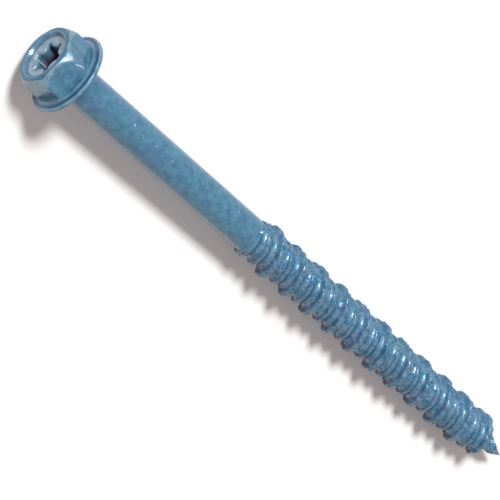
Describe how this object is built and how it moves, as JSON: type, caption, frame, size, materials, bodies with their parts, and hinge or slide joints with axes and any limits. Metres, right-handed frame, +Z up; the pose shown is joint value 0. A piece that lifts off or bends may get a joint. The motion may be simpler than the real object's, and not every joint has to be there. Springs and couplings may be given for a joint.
{
  "type": "concrete screw",
  "caption": "Concrete screw with a hexagon flange head, star recess, smooth shank, right-hand high-low thread with a notched crest, and a nail point.",
  "frame": {"origin": "on the surface the screw lies on, under the middle of its length", "axes": "+X along the screw from head to point, +Z up; the screw axis dips 1.6 degrees towards the point, because it rests on the flange edge and on the thread"},
  "size_m": [0.0934, 0.011, 0.011],
  "materials": {
    "coated_steel": "satin"
  },
  "bodies": {
    "root": {"concrete_screw": "coated_steel"}
  },
  "joints": []
}
